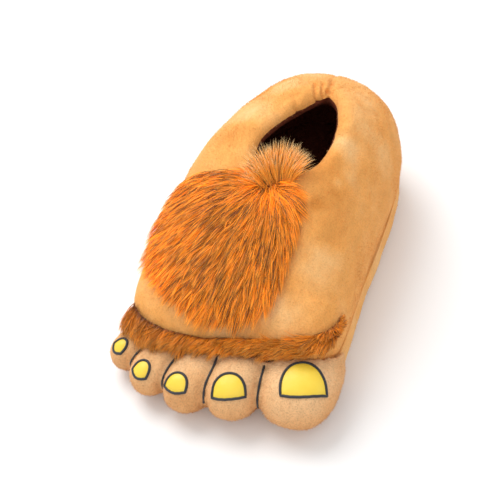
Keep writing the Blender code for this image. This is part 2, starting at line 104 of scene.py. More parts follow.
RISE = (  # crest of the last above the sole band, as a share of INSTEP_RISE
    ("along", "rise"),
    (0.00, 1.02), (0.15, 0.98), (0.35, 0.98), (0.50, 1.00),
    (0.62, 0.93), (0.75, 0.78), (0.88, 0.63), (1.06, 0.52),
)

TOES = (  # where each tip is in plan, its turn outwards in degrees and its share of the half sizes
    ("name", "along", "across", "turn", "length", "width", "height"),
    ("big", 1.148, 0.385, -8, 1.00, 1.14, 1.00),
    ("second", 1.183, 0.080, 6, 1.00, 0.88, 0.95),
    ("third", 1.200, -0.130, 14, 1.00, 0.79, 0.89),
    ("fourth", 1.175, -0.330, 24, 0.92, 0.71, 0.82),
    ("little", 1.110, -0.495, 38, 0.82, 0.62, 0.74),
)

NAILS = (  # shares of the toe's own half sizes; turn is in degrees
    ("name", "edge", "length", "half_width", "aside", "turn"),
    ("big", 0.66, 0.52, 0.54, 0.28, -17),
    ("second", 0.80, 0.33, 0.52, 0.22, -26),
    ("third", 0.85, 0.24, 0.41, -0.02, -9),
    ("fourth", 0.86, 0.23, 0.35, 0.06, -5),
    ("little", 0.84, 0.23, 0.33, 0.04, 0),
)

BAND_EDGE = (  # lower edge of the band, as a share of TOE_TOP, at degrees round from +X
    ("round", "height"),
    (51, 1.00), (76, 1.00), (90, 0.965), (100, 0.91), (110, 0.84), (119, 0.78),
)

PATCH = (  # where the instep fur is rooted, plan mm
    (4, -40), (16, -43), (24, -57), (28, -79), (24, -104), (8, -119), (-18, -122), (-42, -116),
    (-62, -102), (-71, -80), (-70, -58), (-58, -42), (-28, -41),
)
WHORL = np.array([0.001, -0.043])  # where the instep hairs part, in metres

CREASES = (  # soft troughs in the upper, sizes in mm; a depth below 0 is a ridge
    ("name", "width", "depth", "line"),
    ("heel_seam", 1.5, 1.3, ((4, 84), (2, 92), (0, 102), (-2, 112), (-1, 122), (0, 129), (0, 132.5))),
    ("corner_fold", 2.4, 3.8, ((7.3, 66), (7, 73), (5, 80), (3, 87), (1, 94))),
    ("gather_a", 1.7, 2.8, ((5, 61), (1.5, 70), (-1, 77), (-2, 81))),
    ("gather_b", 2.0, 2.8, ((2.5, 54), (-1.5, 62), (-4.5, 68), (-7, 76))),
    ("gather_c", 1.5, 1.5, ((9, 71), (12, 76.5), (15, 81), (20, 85))),
    ("gather_d", 3.2, 1.6, ((-6, 33), (-11, 43), (-15, 50))),
    ("fold_left", 9.0, 1.3, ((-20, 44), (-38, 54), (-54, 66))),
    ("fold_heel", 10.0, 1.2, ((20, 92), (36, 84), (50, 70))),
    ("fold_side", 11.0, 1.5, ((34, 26), (52, 10), (63, -12))),
    ("ball_dip", 15.0, 1.6, ((48, -62), (58, -80), (62, -100))),
    ("roll_left", 6.0, -0.9, ((-16, 60), (-28, 36), (-34, 10), (-32, -8))),
    ("roll_right", 6.0, -0.9, ((28, 66), (39, 42), (41, 12), (34, -12))),
)

BRUSHED_AND_PAINTED_LIGHT = (  # where the nap was stroked, and painted light: the pale spots at (42, 50) and (30, 84) by the heel and those from (52, -78) round to (-66, -104) just above the band lighten shade there; plan mm, how far it reaches in mm, and its tone, 1 is pale
    ("x", "y", "reach", "tone"),
    (44, 12, 13, 1.0), (50, -8, 10, 0.6), (33, -14, 16, -0.9), (48, -34, 14, -0.7),
    (38, -46, 6, -0.8), (46, -22, 5, 0.8), (56, -52, 12, -0.4), (42, 50, 16, 0.45),
    (30, 84, 18, 0.5), (-38, 20, 15, 0.7), (-30, 66, 14, 0.8), (-52, 40, 18, 0.5),
    (-46, -6, 14, -0.5), (-20, 96, 14, 0.6), (8, 122, 10, 0.6), (52, -78, 16, 0.7),
    (36, -116, 16, 0.8), (4, -130, 14, 0.8), (-34, -124, 14, 0.8), (-66, -104, 14, 0.9),
    (14, 108, 16, 0.4), (62, 40, 16, 0.4),
)


def rows_of(table):
    """The table's rows as dictionaries with its first row's names."""
    names = table[0]
    return [dict(zip(names, row)) for row in table[1:]]


def even_points(dense, count, closed):
    """Points spaced evenly along a polyline."""
    line = np.vstack([dense, dense[:1]]) if closed else np.asarray(dense, float)
    steps = np.linalg.norm(np.diff(line, axis=0), axis=1)
    length = np.concatenate([[0.0], np.cumsum(steps)])
    places = np.linspace(0.0, length[-1], count, endpoint=not closed)
    return np.column_stack([np.interp(places, length, line[:, k]) for k in range(line.shape[1])])


def spline(points, closed, steps=24):
    """A smooth curve through the points, as a dense polyline."""
    points = np.asarray(points, float)
    if not closed:
        points = np.vstack([2 * points[0] - points[1], points, 2 * points[-1] - points[-2]])
    t = np.linspace(0.0, 1.0, steps, endpoint=False)[:, None]
    spans = []
    for i in range(len(points) if closed else len(points) - 3):
        a, b, c, d = (points[(i + k) % len(points)] for k in range(4))
        spans.append(
            0.5 * (2 * b + (c - a) * t + (2 * a - 5 * b + 4 * c - d) * t**2 + (3 * b - a - 3 * c + d) * t**3)
        )
    dense = np.vstack(spans)
    return np.roll(dense, steps, axis=0) if closed else np.vstack([dense, points[-2]])


def plan(along, across):
    return (across * BALL_WIDTH, HEEL_Y - along * BODY_LENGTH)


SEAM_LINE = spline([plan(row["along"], row["across"]) for row in rows_of(OUTLINE)], closed=True)
RISE_LINE = spline([(row["along"], row["rise"]) for row in rows_of(RISE)], closed=False)


def inset_ring(count, inset):
    """The seam line in plan, moved inwards."""
    ring = even_points(SEAM_LINE, count, closed=True)
    forward = np.roll(ring, -1, axis=0) - np.roll(ring, 1, axis=0)
    inward = np.column_stack([forward[:, 1], -forward[:, 0]])
    inward /= np.linalg.norm(inward, axis=1, keepdims=True)
    inward *= np.sign(np.sum(inward * (ring.mean(axis=0) - ring)))
    return ring + inward * inset


def middle_of_last():
    """Where the last's middle is in the shared frame, from the outsole's box."""
    ring = inset_ring(60, OUTSOLE_INSET)
    low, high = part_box("outsole")
    own = (ring.min(axis=0) + ring.max(axis=0)) / 2
    return np.array([(low.x + high.x) / 2 - own[0], (low.y + high.y) / 2 - own[1], 0.0])


MIDDLE = middle_of_last()
_angles = np.arctan2(SEAM_LINE[:, 1], SEAM_LINE[:, 0])
_order = np.argsort(_angles)
_radii = np.linalg.norm(SEAM_LINE, axis=1)


def reach_at(angle):
    """Distance from the middle of the last to the seam line in that direction."""
    return np.interp(angle, _angles[_order], _radii[_order], period=2 * math.pi)


def rise_at(spots):
    """Height of the last's crest above the sole band, beside points."""
    along = (HEEL_Y - spots[:, 1]) / BODY_LENGTH
    return INSTEP_RISE * np.interp(along, RISE_LINE[:, 0], RISE_LINE[:, 1])


def domed(share):
    """The last's curve: its height at a share of its reach, or its reach at a share of its height."""
    return (1.0 - share**DOME_POWER) ** (1.0 / DOME_POWER)


def over_last(spots):
    """Points on the upper's outer form above plan points."""
    spots = np.asarray(spots, float)
    distance = np.maximum(np.linalg.norm(spots, axis=1), 1e-9)
    share = np.clip(distance / reach_at(np.arctan2(spots[:, 1], spots[:, 0])), 0.0, 1.0)
    height = domed(share)
    bulge = SIDE_BULGE * np.sin(math.pi * height) * (1.0 - height)
    level = spots * (1.0 + bulge / distance)[:, None]
    return np.column_stack([level, BAND_HEIGHT + GAP + rise_at(spots) * height])


def last_normals(spots):
    """Outward directions of that form above plan points."""
    step = 0.0002
    spots = np.asarray(spots, float) * 0.9985
    side = over_last(spots + (step, 0.0)) - over_last(spots - (step, 0.0))
    front = over_last(spots + (0.0, step)) - over_last(spots - (0.0, step))
    normals = np.cross(side, front)
    return normals / np.linalg.norm(normals, axis=1, keepdims=True)


def off_last(spots, lift):
    """Points that stand off that form by a lift."""
    return over_last(spots) + last_normals(spots) * lift[:, None]


def depth_in_last(spots):
    """About how far inside the upper's outer form points are, level or upright, whichever is less."""
    distance = np.linalg.norm(spots[:, :2], axis=1)
    top = over_last(spots[:, :2])[:, 2]
    height = np.clip((spots[:, 2] - BAND_HEIGHT - GAP) / rise_at(spots), 0.0, 1.0)
    reach = reach_at(np.arctan2(spots[:, 1], spots[:, 0])) * domed(height)
    reach += SIDE_BULGE * np.sin(math.pi * height) * (1.0 - height)
    return np.minimum(np.where(distance < reach, reach - distance, 0.0), np.maximum(top - spots[:, 2], 0.0))


def linked(name, mesh):
    piece = bpy.data.objects.new(name, mesh)
    bpy.context.scene.collection.objects.link(piece)
    return piece


def settle(piece, slot, material, *nodes, fill=None):
    """Gives a finished piece its material and says where it belongs."""
    piece.data.materials.clear()
    piece.data.materials.append(material)
    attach(piece, "root")
    if nodes:
        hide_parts(*nodes)
    return piece


def copy_of(node):
    """A merged copy of a solid, with its triangles paired up again."""
    shape = bmesh.new()
    shape.from_mesh(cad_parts[node].data)
    bmesh.ops.remove_doubles(shape, verts=shape.verts, dist=0.00001)
    bmesh.ops.join_triangles(
        shape, faces=shape.faces, angle_face_threshold=math.pi, angle_shape_threshold=math.pi
    )
    return shape


def held(shape, level):
    """Holds the seam's edges at that height, so that rounding the piece doesn't open the seam."""
    layer = shape.edges.layers.float.new("crease_edge")
    for edge in shape.edges:
        if all(abs(vert.co.z - level) < 0.0004 for vert in edge.verts):
            edge[layer] = 0.75
    return shape


def baked(piece, kind, **settings):
    """Runs one modifier on the piece and keeps its result."""
    step = piece.modifiers.new(kind.lower(), kind)
    for name, value in settings.items():
        setattr(step, name, value)
    graph = bpy.context.evaluated_depsgraph_get()
    made = bpy.data.meshes.new_from_object(piece.evaluated_get(graph))
    piece.modifiers.clear()
    piece.data = made
    made.shade_smooth()
    return piece


def piece_from(shape, name):
    mesh = bpy.data.meshes.new(name)
    shape.to_mesh(mesh)
    shape.free()
    mesh.shade_smooth()
    return linked(name, mesh)


def vectors_of(items, key):
    values = np.empty(len(items) * 3, np.float32)
    items.foreach_get(key, values)
    return values.reshape(-1, 3).astype(float)


def spots_of(mesh):
    return vectors_of(mesh.vertices, "co")


def normals_of(mesh):
    return vectors_of(mesh.vertex_normals, "vector")


def move_to(mesh, spots):
    mesh.vertices.foreach_set("co", np.asarray(spots, np.float32).ravel())
    mesh.update()


def spread(spots, own, by):
    """Moves points level, away from the middle of the last."""
    spots[:, :2] += own[:, :2] * (by / np.maximum(np.linalg.norm(own[:, :2], axis=1), 0.01))[:, None]


def give(mesh, name, values):
    """Stores one number a point for a material to read."""
    layer = mesh.attributes.new(name, "FLOAT", "POINT")
    layer.data.foreach_set("value", np.asarray(values, np.float32))


def uneven(spots, size, seed=0.0):
    """Smooth noise between about -1 and 1 at each point, with lumps of that size."""
    shift = Vector((seed, 2.3 * seed, 3.7 * seed))
    return np.array([noise.noise(Vector(spot) / size + shift) for spot in spots])


def nearness(spots, line, width):
    """How near each point is to a line, from 0 to 1, less towards the line's ends."""
    result = np.zeros(len(spots))
    low = line.min(axis=0) - 3 * width
    high = line.max(axis=0) + 3 * width
    near = np.where(np.all((spots > low) & (spots < high), axis=1))[0]
    if not len(near):
        return result
    gaps = np.linalg.norm(spots[near, None, :] - line[None, :, :], axis=2)
    best = gaps.argmin(axis=1)
    fade = np.minimum(1.0, 4.0 * np.sin(math.pi * (best + 0.5) / len(line)))
    result[near] = np.exp(-((gaps.min(axis=1) / width) ** 2)) * fade
    return result


# Materials

def linear(code):
    """An sRGB hex colour as linear RGBA."""
    values = [int(code[k : k + 2], 16) / 255 for k in (1, 3, 5)]
    return (*[v / 12.92 if v <= 0.04045 else ((v + 0.055) / 1.055) ** 2.4 for v in values], 1.0)


def new_finish(name, **values):
    """A material whose shader has these input values."""
    material = bpy.data.materials.new(name)
    material.use_nodes = True
    shader = material.node_tree.nodes["Principled BSDF"]
    for key, value in values.items():
        shader.inputs[key.replace("_", " ")].default_value = value
    return material


def finished(material, colour, bump=None):
    """Joins a colour and a bump to the material's shader."""
    shader = material.node_tree.nodes["Principled BSDF"]
    material.node_tree.links.new(colour, shader.inputs["Base Color"])
    if bump is not None:
        material.node_tree.links.new(bump, shader.inputs["Normal"])
    return material


def add(material, kind, inputs, **settings):
    """Adds one node: settings are its properties, inputs its values or the sockets that feed it."""
    made = material.node_tree.nodes.new(kind)
    for name, value in settings.items():
        setattr(made, name, value)
    for key, value in inputs.items():
        if isinstance(value, bpy.types.NodeSocket):
            material.node_tree.links.new(value, made.inputs[key])
        else:
            made.inputs[key].default_value = value
    return made


def mixed(material, factor, first, second, blend="MIX"):
    """The colour output of a mix of two colours."""
    inputs = {0: factor, 6: first, 7: second}
    return add(material, "ShaderNodeMix", inputs, data_type="RGBA", blend_type=blend).outputs[2]


def object_place(material):
    return add(material, "ShaderNodeTexCoord", {}).outputs["Object"]


def stored(material, name):
    """A number that a piece's points carry."""
    return add(material, "ShaderNodeAttribute", {}, attribute_name=name).outputs["Fac"]


def noisy(material, place, scale, detail, distortion=0.0):
    inputs = {"Vector": place, "Scale": scale, "Detail": detail, "Distortion": distortion}
    return add(material, "ShaderNodeTexNoise", inputs).outputs["Fac"]


def ranged(material, value, low, high, least, most):
    """The value stretched from low and high to least and most, and held between them."""
    inputs = {"Value": value, "From Min": low, "From Max": high, "To Min": least, "To Max": most}
    return add(material, "ShaderNodeMapRange", inputs).outputs[0]


def bumped(material, height, strength, distance, **more):
    inputs = {"Height": height, "Strength": strength, "Distance": distance, **more}
    return add(material, "ShaderNodeBump", inputs).outputs[0]


def crossed(material, place, scale, operation, distortion=0.0):
    """Warp and weft as two sets of waves, put together."""
    inputs = {"Vector": place, "Scale": scale, "Distortion": distortion}
    warp, weft = (
        add(material, "ShaderNodeTexWave", inputs, bands_direction=way).outputs["Fac"] for way in ("X", "Y")
    )
    return add(material, "ShaderNodeMath", {0: warp, 1: weft}, operation=operation).outputs[0]


def plush(name, pale, main, deep, grain=0.5):
    """Short-pile polyester plush, brushed by hand: matt, with a pale bloom at grazing angles."""
    sheen = {"Sheen_Weight": 0.16, "Sheen_Roughness": 0.4, "Sheen_Tint": linear(pale)}
    material = new_finish(name, Roughness=0.88, Specular_IOR_Level=0.25, **sheen)
    place = object_place(material)
    # Lumps of nap that lie one way or the other, some 25 mm across
    lumps = noisy(material, place, 38.0, 3.0)
    # Short strokes of the nap, 4 by 14 mm, slanting down the sides
    slant = add(
        material,
        "ShaderNodeMapping",
        {"Vector": place, "Rotation": (0.5, 0.3, 0.7), "Scale": (230.0, 75.0, 110.0)},
    ).outputs[0]
    strokes = noisy(material, slant, 1.0, 4.0)
    # Tips of the pile, about 1 mm apart
    pile = noisy(material, place, 900.0, 2.0)
    tone = ranged(material, lumps, 0.3, 0.7, -0.22, 0.22)
    # The stored tone is the nap's and painted light's: paler over the shade by the heel, above the band and
    # all along the side band, and on the toes' tops; darker down the toes' fronts
    both = add(material, "ShaderNodeMath", {0: tone, 1: stored(material, "nap_and_painted_light")}, operation="ADD").outputs[0]
    colour = mixed(material, ranged(material, both, 0.0, 1.1, 0.0, 0.85), linear(main), linear(pale))
    colour = mixed(material, ranged(material, both, 0.0, -1.1, 0.0, 0.85), colour, linear(deep))
    colour = mixed(material, 1.0, colour, ranged(material, strokes, 0.35, 0.65, 0.94, 1.03), "MULTIPLY")
    speck = ranged(material, pile, 0.3, 0.55, 1 - 0.3 * grain, 1.0)
    colour = mixed(material, 1.0, colour, speck, "MULTIPLY")
    coarse = bumped(material, strokes, 0.35, 0.0016)
    return finished(material, colour, bumped(material, pile, 0.5, 0.0007, Normal=coarse))


def cloth(name, first, second, pattern, relief=None, **values):
    """Cloth, thread or rubber: two colours mixed by one pattern, which is its relief too."""
    material = new_finish(name, **values)
    make, *sizes = pattern
    height = make(material, object_place(material), *sizes)
    colour = mixed(material, height, linear(first), linear(second))
    return finished(material, colour, bumped(material, height, *relief) if relief else None)


def satin(name, main, light):
    """Printed satin cloth: smooth, with a soft gloss and a fine weave."""
    material = new_finish(
        name, Roughness=0.42, Sheen_Weight=0.25, Sheen_Roughness=0.3, Coat_Weight=0.08, Coat_Roughness=0.35
    )
    place = object_place(material)
    cloud = noisy(material, place, 75.0, 2.0)
    # Threads are 0.25 mm apart; drawn at 0.8 mm so that they show
    weave = crossed(material, place, 390.0, "MAXIMUM", distortion=0.4)
    colour = mixed(material, cloud, linear(main), linear(light))
    return finished(material, colour, bumped(material, weave, 0.25, 0.0003))


def fur(name, root, main, tip):
    """Long acrylic fur: dark at the root, pale and finer at the tip, each fibre slightly glossy."""
    material = new_finish(
        name, Roughness=0.5, Specular_IOR_Level=0.4, Sheen_Weight=0.15, Sheen_Roughness=0.4
    )
    ramp = add(material, "ShaderNodeValToRGB", {0: stored(material, "along")})
    bands = ramp.color_ramp.elements
    bands[0].color = linear(root)
    bands[0].position = 0.02
    bands[1].color = linear(tip)
    bands[1].position = 1.0
    bands.new(0.38).color = linear(main)
    bands.new(0.72).color = linear(main)
    tone = stored(material, "tone")
    return finished(material, mixed(material, 1.0, ramp.outputs["Color"], tone, "MULTIPLY"))


tan_plush = plush("tan_brushed_plush", "#F4C88C", "#EBA658", "#CE8438")
peach_plush = plush("peach_brushed_plush", "#F2CA9A", "#E6B078", "#CB8E54", grain=0.8)
lining_fleece = cloth(  # a dull curly pile that swallows the light
    "brown_curly_fleece", "#3A1810", "#80422C", (noisy, 420.0, 4.0, 1.2), (0.8, 0.0012),
    Roughness=0.95, Specular_IOR_Level=0.1,
)
nail_satin = satin("yellow_printed_satin", "#ECC226", "#F4D64C")
black_thread = cloth(  # dark and twisted, with a faint shine
    "black_satin_stitch", "#101114", "#2B2D33", (noisy, 1300.0, 2.0), (0.6, 0.0004),
    Roughness=0.55, Sheen_Weight=0.15,
)
under_cloth = cloth(  # coarse, flat and dull, with threads 1.2 mm apart
    "brown_woven_sole_cloth", "#3A2A1E", "#6B4F38", (crossed, 260.0, "MULTIPLY"), (0.5, 0.0006),
    Roughness=0.9,
)
grip_rubber = cloth("dark_printed_rubber", "#2C2622", "#4A4038", (noisy, 300.0, 3.0), Roughness=0.5)
rust_fur = fur("rust_acrylic_fur", "#84400A", "#F08A08", "#F5A83C")
gold_fur = fur("gold_tipped_fur", "#B8681C", "#F29C2C", "#FFDFA4")


# Stuffed plush pieces

def nap_and_painted_light_at(spots):
    """How far the nap was stroked pale or dark at each point, with painted light over the shade by the heel
    and above the band.
    """
    own = spots - MIDDLE
    nap_and_painted_light = np.zeros(len(own))
    for row in rows_of(BRUSHED_AND_PAINTED_LIGHT):
        centre = over_last([(row["x"] * MM, row["y"] * MM)])[0]
        gap = np.linalg.norm(own - centre, axis=1) / (row["reach"] * MM)
        nap_and_painted_light += row["tone"] * np.exp(-(gap**2.5))
    return nap_and_painted_light * (1.0 + 0.45 * uneven(own, 0.009, 4.0))


def make_upper():
    """Upper as one stuffed wall, with the heel seam, gathers and soft folds, and its fleece lining."""
    shape = copy_of("upper")
    centres = np.array([face.calc_center_median() for face in shape.faces]) - MIDDLE
    inner = depth_in_last(centres) > LINING_DEPTH
    for face, lined in zip(shape.faces, inner):
        face.material_index = 1 if lined and face.normal.z > -0.95 else 0
    piece = piece_from(held(shape, BAND_HEIGHT + GAP), "stuffed_upper")
    piece.data.materials.append(tan_plush)
    piece.data.materials.append(lining_fleece)
    baked(piece, "SUBSURF", levels=3, render_levels=3)
    spots = spots_of(piece.data)
    normals = normals_of(piece.data)
    own = spots - MIDDLE
    sink = np.zeros(len(spots))
    top = own[:, 2] > COLLAR_LOW
    for row in rows_of(CREASES):
        line = even_points(over_last(np.array(row["line"]) * MM), 60, closed=False)
        near = nearness(own, line, row["width"] * MM)
        near[top] = np.maximum(near[top], nearness(own[top, :2], line[:, :2], row["width"] * MM))
        sink += row["depth"] * MM * near
    sink -= 0.0010 * uneven(own, 0.032, 1.0) + 0.0005 * uneven(own, 0.013, 2.0)
    low = own[:, 2] < BAND_HEIGHT + 0.0015
    sink[low] = 0.0
    move_to(piece.data, spots - normals * sink[:, None])
    give(piece.data, "nap_and_painted_light", nap_and_painted_light_at(spots))
    return piece


def part_lining(piece):
    """Takes the lining's faces off the upper as a piece of its own."""
    pair = []
    for index, name in ((0, "stuffed_upper"), (1, "fleece_lining")):
        shape = bmesh.new()
        shape.from_mesh(piece.data)
        away = [face for face in shape.faces if face.material_index != index]
        bmesh.ops.delete(shape, geom=away, context="FACES")
        for face in shape.faces:
            face.material_index = 0
        mesh = bpy.data.meshes.new(name)
        shape.to_mesh(mesh)
        shape.free()
        pair.append(mesh)
    piece.data = pair[0]
    return piece, linked("fleece_lining", pair[1])


def make_sole_band():
    """Foam sole in its plush side band."""
    piece = piece_from(held(copy_of("midsole"), BAND_HEIGHT), "plush_sole_band")
    baked(piece, "SUBSURF", levels=3, render_levels=3)
    spots = spots_of(piece.data)
    own = spots - MIDDLE
    bump = 0.0007 * uneven(own, 0.024, 6.0) + 0.0003 * uneven(own, 0.009, 7.0)
    side = np.clip((0.028 - np.abs(own[:, 2] - 0.016) * 2) / 0.02, 0.0, 1.0)
    spots += normals_of(piece.data) * (bump * side)[:, None]
    # The band's upper edge is drawn out to the upper's, so that only a soft groove is left
    spread(spots, own, SEAM_FILL * np.clip((own[:, 2] - 0.026) / (BAND_HEIGHT - 0.026), 0.0, 1.0))
    move_to(piece.data, spots)
    # The 0.35 added all round is painted light: the band is made paler to make up for the shade its side is
    # in
    give(piece.data, "nap_and_painted_light", 0.4 * uneven(own, 0.020, 8.0) + 0.35)
    return piece


def stuffed(piece, voxel, pressure, most, pinned):
    """Swells a closed pad as cloth under pressure. Pinned points stay and no point moves past most."""
    baked(piece, "REMESH", mode="VOXEL", voxel_size=voxel)
    baked(piece, "SMOOTH", factor=0.5, iterations=3)
    before = spots_of(piece.data)
    group = piece.vertex_groups.new(name="held")
    group.add([int(index) for index in np.where(pinned(before))[0]], 1.0, "REPLACE")
    step = piece.modifiers.new("cloth", "CLOTH")
    step.settings.vertex_group_mass = "held"
    step.settings.use_pressure = True
    step.settings.uniform_pressure_force = pressure
    step.settings.effector_weights.gravity = 0.0
    step.point_cache.frame_start, step.point_cache.frame_end = 1, CLOTH_FRAMES
    for moment in range(1, CLOTH_FRAMES + 1):
        bpy.context.scene.frame_set(moment)
    graph = bpy.context.evaluated_depsgraph_get()
    swollen = bpy.data.meshes.new_from_object(piece.evaluated_get(graph))
    shift = spots_of(swollen) - before
    far = np.linalg.norm(shift, axis=1, keepdims=True)
    piece.modifiers.clear()
    piece.vertex_groups.clear()
    bpy.data.meshes.remove(swollen)
    bpy.context.scene.frame_set(1)
    move_to(piece.data, before + shift * np.minimum(1.0, most / np.maximum(far, 1e-9)))
    return piece


def against_body(spots):
    """Which points of the toes rest on the floor or lie against body and sole."""
    own = spots - MIDDLE
    level = np.linalg.norm(own[:, :2], axis=1) - reach_at(np.arctan2(own[:, 1], own[:, 0]))
    return (own[:, 2] < RESTS_BELOW) | (level < TOUCHES_WITHIN)


def make_toes():
    """The stuffed front panel with its five toes."""
    piece = piece_from(copy_of("toe_piece"), "stuffed_toes")
    stuffed(piece, TOE_VOXEL, TOE_PRESSURE, TOE_SWELL, against_body)
    baked(piece, "SUBSURF", levels=1, render_levels=1)
    spots = spots_of(piece.data)
    own = spots - MIDDLE
    lift = 0.0007 * uneven(own, 0.018, 11.0) + 0.0003 * uneven(own, 0.007, 12.0)
    rows = rows_of(TOES)
    for first, second in zip(rows, rows[1:]):
        groove = valley(first, second)
        notch = groove[-1] + np.array([(0.0, 0.0, -0.008), (0.0, 0.0, -0.020)])
        line = even_points(np.vstack([groove, notch]), 70, closed=False)
        lift -= GROOVE_DEPTH * nearness(own, line, GROOVE_WIDTH)
    lift[against_body(spots)] = 0.0
    move_to(piece.data, spots + normals_of(piece.data) * lift[:, None])
    # Painted light and shade: the toes' tops are paler and their lower fronts darker, as the light falls
    # from above
    painted_light_above_shade_below = np.clip((own[:, 2] - 0.030) / 0.022, -0.8, 0.8)
    give(piece.data, "nap_and_painted_light", 0.45 * uneven(own, 0.022, 13.0) + painted_light_above_shade_below)
    return piece


def array_mesh(name, spots, corners, starts):
    """A mesh straight from arrays: points, all faces' corners in a row, and where each face starts."""
    mesh = bpy.data.meshes.new(name)
    mesh.vertices.add(len(spots))
    mesh.vertices.foreach_set("co", spots.astype(np.float32).ravel())
    mesh.loops.add(len(corners))
    mesh.loops.foreach_set("vertex_index", corners.astype(np.int32))
    mesh.polygons.add(len(starts))
    mesh.polygons.foreach_set("loop_start", starts.astype(np.int32))
    mesh.update(calc_edges=True)
    mesh.shade_smooth()
    return mesh


def pile_over(piece, name, count, seed):
    """The plush's short pile: leaning tufts of fibres 1 to 2 mm long, for its soft edge."""
    dice = np.random.default_rng(seed)
    mesh = piece.data
    mesh.calc_loop_triangles()
    corners = np.empty(len(mesh.loop_triangles) * 3, np.int32)
    mesh.loop_triangles.foreach_get("vertices", corners)
    corners = corners.reshape(-1, 3)
    spots = spots_of(mesh)
    normals = normals_of(mesh)
    edges = spots[corners]
    area = np.linalg.norm(np.cross(edges[:, 1] - edges[:, 0], edges[:, 2] - edges[:, 0]), axis=1)
    face = dice.choice(len(corners), count, p=area / area.sum())
    mix = dice.dirichlet((1.0, 1.0, 1.0), count)[:, :, None]
    roots = (spots[corners[face]] * mix).sum(axis=1)
    up = (normals[corners[face]] * mix).sum(axis=1)
    up /= np.linalg.norm(up, axis=1, keepdims=True)
    lean = np.stack([uneven(roots, 0.03, seed + k) for k in (1.0, 2.0, 3.0)], axis=1)
    lean = lean * 1.6 + (0.0, -0.35, -0.35) + dice.normal(0.0, 0.35, (count, 3))
    lean -= up * np.sum(lean * up, axis=1, keepdims=True)
    ahead = up * dice.uniform(0.8, 1.4, count)[:, None] + lean
    ahead /= np.linalg.norm(ahead, axis=1, keepdims=True)
    tips = roots + ahead * dice.uniform(0.0009, 0.0018, count)[:, None]
    side = np.cross(ahead, up)
    side *= PILE / 2 / np.maximum(np.linalg.norm(side, axis=1, keepdims=True), 1e-9)
    low = roots - up * 0.0004
    points = np.stack([low - side, low + side, tips], axis=1).reshape(-1, 3)
    made = array_mesh(name, points, np.arange(count * 3), np.arange(0, count * 3, 3))
    # The tufts take the plush's stored tone, painted light included, each a little paler
    nap_and_painted_light = np.empty(len(spots), np.float32)
    mesh.attributes["nap_and_painted_light"].data.foreach_get("value", nap_and_painted_light)
    give(made, "nap_and_painted_light", np.repeat(nap_and_painted_light[corners[face, 0]] + dice.uniform(0.0, 0.9, count), 3))
    return linked(name, made)


def make_footbed():
    """Padded footbed, spread a little so that no plush shows between it and the lining."""
    piece = piece_from(held(copy_of("insole"), BAND_HEIGHT + GAP), "fleece_footbed")
    baked(piece, "SUBSURF", levels=2, render_levels=2)
    spots = spots_of(piece.data)
    spread(spots, spots - MIDDLE, FOOTBED_SPREAD)
    move_to(piece.data, spots)
    return piece


# Toes, nails and their black lines

def toe_frame(toe):
    """Middle, half sizes and turn of one toe, in metres and radians."""
    tip = plan(toe["along"], toe["across"])
    turn = math.radians(toe["turn"])
    length = TOE_LENGTH * toe["length"]
    height = (TOE_TOP * toe["height"] - TOE_LIFT) / 2
    forward = np.array([-math.sin(turn), -math.cos(turn), 0.0])
    sideways = np.array([math.cos(turn), -math.sin(turn), 0.0])
    middle = np.array([*tip, TOE_LIFT + height]) - forward * length
    return middle, forward, sideways, (length, TOE_WIDTH * toe["width"], height)


def toe_tops(toe, spots):
    """Height of a toe's top above the floor at plan points, or -1 beside it."""
    middle, forward, sideways, (length, width, height) = toe_frame(toe)
    ahead = (spots - middle[:2]) @ forward[:2] / length
    aside = (spots - middle[:2]) @ sideways[:2] / width
    left = 1.0 - np.abs(ahead) ** TOE_POWER - np.abs(aside) ** TOE_POWER
    return np.where(left > 0, middle[2] + height * np.maximum(left, 0.0) ** (1.0 / TOE_POWER), -1.0)


def valley(first, second):
    """Points down the groove between two toes, from the body to the notch in front."""
    a, b = toe_frame(first), toe_frame(second)
    base = (a[0] + b[0])[:2] / 2
    forward = (a[1] + b[1])[:2]
    forward /= np.linalg.norm(forward)
    across = np.array([-forward[1], forward[0]])
    points = []
    for ahead in np.arange(-0.010, 0.05, 0.0008):
        edges = []
        for frame_of in (a, b):
            along_toe = (base + forward * ahead - frame_of[0][:2]) @ forward / (frame_of[1][:2] @ forward)
            edges.append((frame_of[0][:2] + frame_of[1][:2] * along_toe - base) @ across)
        tries = np.linspace(min(edges), max(edges), 160)
        spots = base + forward * ahead + tries[:, None] * across
        tops = np.maximum(toe_tops(first, spots), toe_tops(second, spots))
        best = tops.argmin()
        if tops[best] < 0:
            break
        points.append([*spots[best], tops[best]])
    return np.array(points)


def cord(points, radius, closed):
    """A round cord along points, as a mesh."""
    line = bpy.data.curves.new("line", "CURVE")
    line.dimensions = "3D"
    line.bevel_depth = radius
    line.bevel_resolution = 2
    line.use_fill_caps = not closed
    path = line.splines.new("POLY")
    path.points.add(len(points) - 1)
    for point, spot in zip(path.points, points):
        point.co = (*spot, 1.0)
    path.use_cyclic_u = closed
    holder = linked("line", line)
    mesh = bpy.data.meshes.new_from_object(holder.evaluated_get(bpy.context.evaluated_depsgraph_get()))
    bpy.data.objects.remove(holder)
    bpy.data.curves.remove(line)
    return mesh


def joined(name, meshes):
    """Several meshes as one piece."""
    whole = bmesh.new()
    for mesh in meshes:
        whole.from_mesh(mesh)
        bpy.data.meshes.remove(mesh)
    return piece_from(whole, name)


def tree_of(piece):
    graph = bpy.context.evaluated_depsgraph_get()
    return BVHTree.FromObject(piece, graph)


def laid_on(skin, spot, lift=0.0004):
    """The nearest place on the skin, lifted off it."""
    place, normal, _, _ = skin.find_nearest(Vector(spot))
    return place + normal * lift


